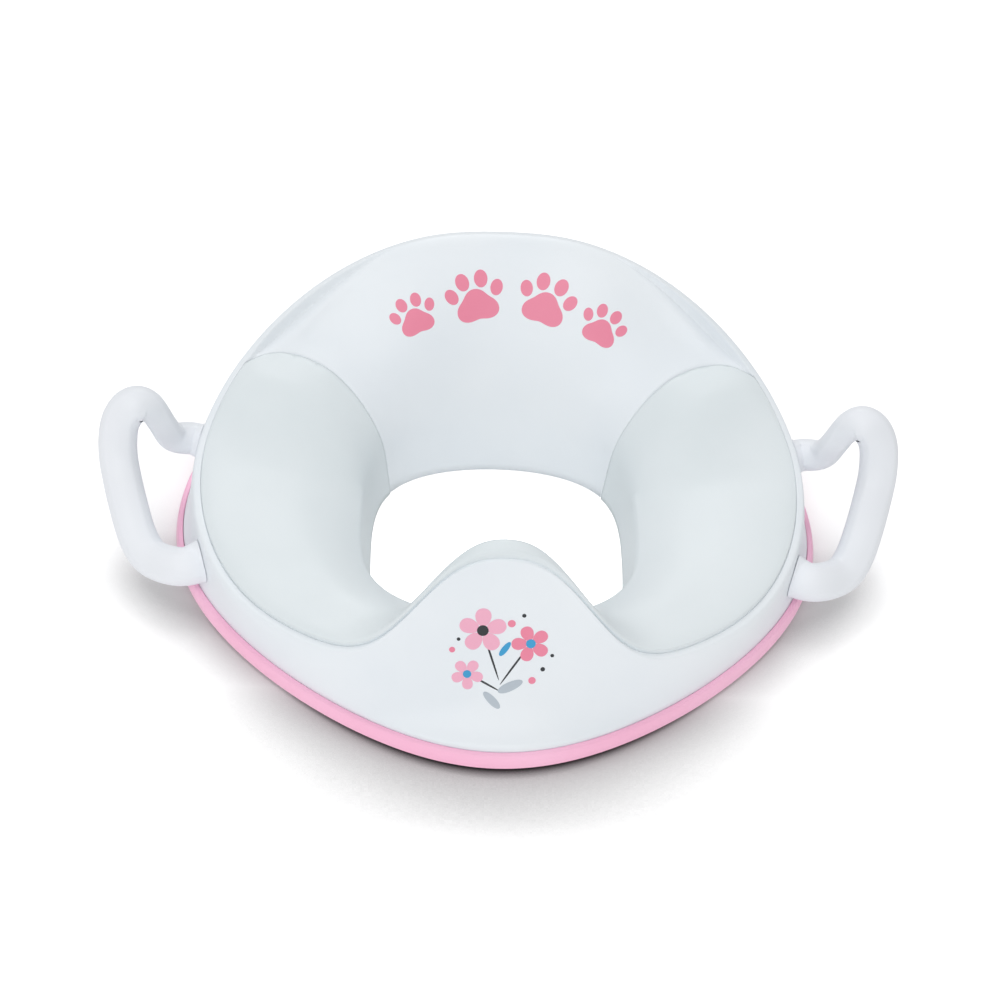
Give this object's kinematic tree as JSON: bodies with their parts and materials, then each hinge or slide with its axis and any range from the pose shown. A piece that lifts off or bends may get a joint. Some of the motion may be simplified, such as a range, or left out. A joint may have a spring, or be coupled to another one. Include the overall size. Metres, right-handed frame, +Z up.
{
  "type": "potty training seat",
  "caption": "Moulded toddler potty seat with a high back, side bolsters, a splash guard at the front, a carrying handle on each side and a soft ring round its base",
  "frame": {"origin": "bottom centre of the bounding box, on the underside of the base ring", "axes": "+X to the seat's side with the right-hand handle, as seen from the front; +Y from the splash guard to the back; +Z up"},
  "size_m": [0.3678, 0.279, 0.1],
  "materials": {
    "shell": "glossy",
    "pan": "glossy",
    "trim": "satin",
    "handle": "satin",
    "steel": "satin"
  },
  "bodies": {
    "root": {"outer_shell": "shell", "seat_pan": "pan", "base_trim": "trim", "handle_left": "handle", "handle_right": "handle", "pan_screws": "steel", "handle_screws": "steel"}
  },
  "joints": []
}
